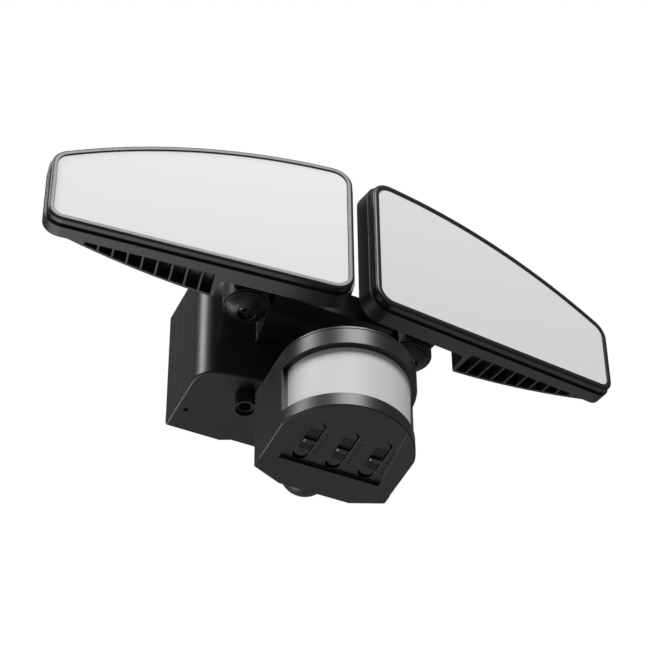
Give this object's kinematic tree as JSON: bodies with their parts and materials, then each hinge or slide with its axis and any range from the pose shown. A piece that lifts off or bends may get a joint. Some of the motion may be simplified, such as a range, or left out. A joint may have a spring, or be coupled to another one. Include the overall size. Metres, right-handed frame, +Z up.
{
  "type": "motion sensor security light",
  "caption": "Black wall light with two wide lamps that turn on upright pivots and a round-fronted motion sensor below on a ball swivel, with slide controls underneath.",
  "frame": {"origin": "middle of the base outline on the wall plane (back of the back plate)", "axes": "+X to the viewer's right along the wall, +Y into the wall, +Z up; the light faces -Y"},
  "size_m": [0.3372, 0.1283, 0.18],
  "materials": {
    "black_metal": "satin",
    "black_plastic": "satin",
    "window_white": "smooth translucent",
    "lens_white": "milky, faint facets",
    "black_rubber": "matte",
    "steel": "zinc plated",
    "black_steel": "blackened",
    "board_green": "circuit board",
    "board_white": "white solder mask on metal board",
    "led_yellow": "phosphor",
    "component_dark": "moulded",
    "terminal_grey": "moulded",
    "detector_metal": "bright can"
  },
  "bodies": {
    "base": {"back_plate": "black_plastic", "rear_cover": "black_plastic", "base_housing": "black_plastic", "case_screws": "steel", "cable_grommet": "black_rubber", "driver_board": "board_green", "driver_components": "component_dark", "board_screws": "steel", "terminal_block": "terminal_grey"},
    "sensor_swivel": {"swivel_ball": "black_plastic", "swivel_nut": "black_plastic"},
    "sensor_head": {"sensor_front_housing": "black_plastic", "sensor_top_cap": "black_plastic", "sensor_rear_housing": "black_plastic", "fresnel_lens": "lens_white", "slide_switches": "component_dark", "control_board": "board_green", "control_screws": "steel", "detector_board": "board_green", "detector": "detector_metal", "sensor_case_screws": "steel", "tilt_pin": "steel"},
    "right_lamp": {"right_lamp_housing": "black_metal", "right_bezel": "black_plastic", "right_diffuser": "window_white", "right_lens_gasket": "black_rubber", "right_led_board": "board_white", "right_leds": "led_yellow", "right_led_board_screws": "steel", "right_knuckle": "black_metal", "right_knuckle_screws": "steel", "right_pivot_cup": "black_plastic", "right_pivot_screw": "black_steel", "right_pivot_washer": "black_rubber", "right_pivot_nut": "steel"},
    "left_lamp": {"left_lamp_housing": "black_metal", "left_bezel": "black_plastic", "left_diffuser": "window_white", "left_lens_gasket": "black_rubber", "left_led_board": "board_white", "left_leds": "led_yellow", "left_led_board_screws": "steel", "left_knuckle": "black_metal", "left_knuckle_screws": "steel", "left_pivot_cup": "black_plastic", "left_pivot_screw": "black_steel", "left_pivot_washer": "black_rubber", "left_pivot_nut": "steel"},
    "slider_1": {"sensor_slider_1": "black_plastic"},
    "slider_2": {"sensor_slider_2": "black_plastic"},
    "slider_3": {"sensor_slider_3": "black_plastic"}
  },
  "joints": [
    {"name": "right_lamp_turn", "type": "hinge", "parent": "base", "child": "right_lamp", "pos_m": [0.0483, -0.0704, 0.02], "axis": [0, 0, 1], "range_deg": [-3, 30]},
    {"name": "left_lamp_turn", "type": "hinge", "parent": "base", "child": "left_lamp", "pos_m": [-0.0483, -0.0704, 0.02], "axis": [0, 0, -1], "range_deg": [-3, 30]},
    {"name": "sensor_pan", "type": "hinge", "parent": "base", "child": "sensor_swivel", "pos_m": [0, -0.0395, -0.038], "axis": [0, 0, 1], "range_deg": [-35, 35]},
    {"name": "sensor_tilt", "type": "hinge", "parent": "sensor_swivel", "child": "sensor_head", "pos_m": [0, -0.0395, -0.0823], "axis": [1, 0, 0], "range_deg": [-6, 25]},
    {"name": "slider_1_slide", "type": "slide", "parent": "sensor_head", "child": "slider_1", "axis": [0, 1, 0], "range_m": [-0.0018, 0.0018]},
    {"name": "slider_2_slide", "type": "slide", "parent": "sensor_head", "child": "slider_2", "axis": [0, 1, 0], "range_m": [-0.0018, 0.0018]},
    {"name": "slider_3_slide", "type": "slide", "parent": "sensor_head", "child": "slider_3", "axis": [0, 1, 0], "range_m": [-0.0018, 0.0018]}
  ]
}
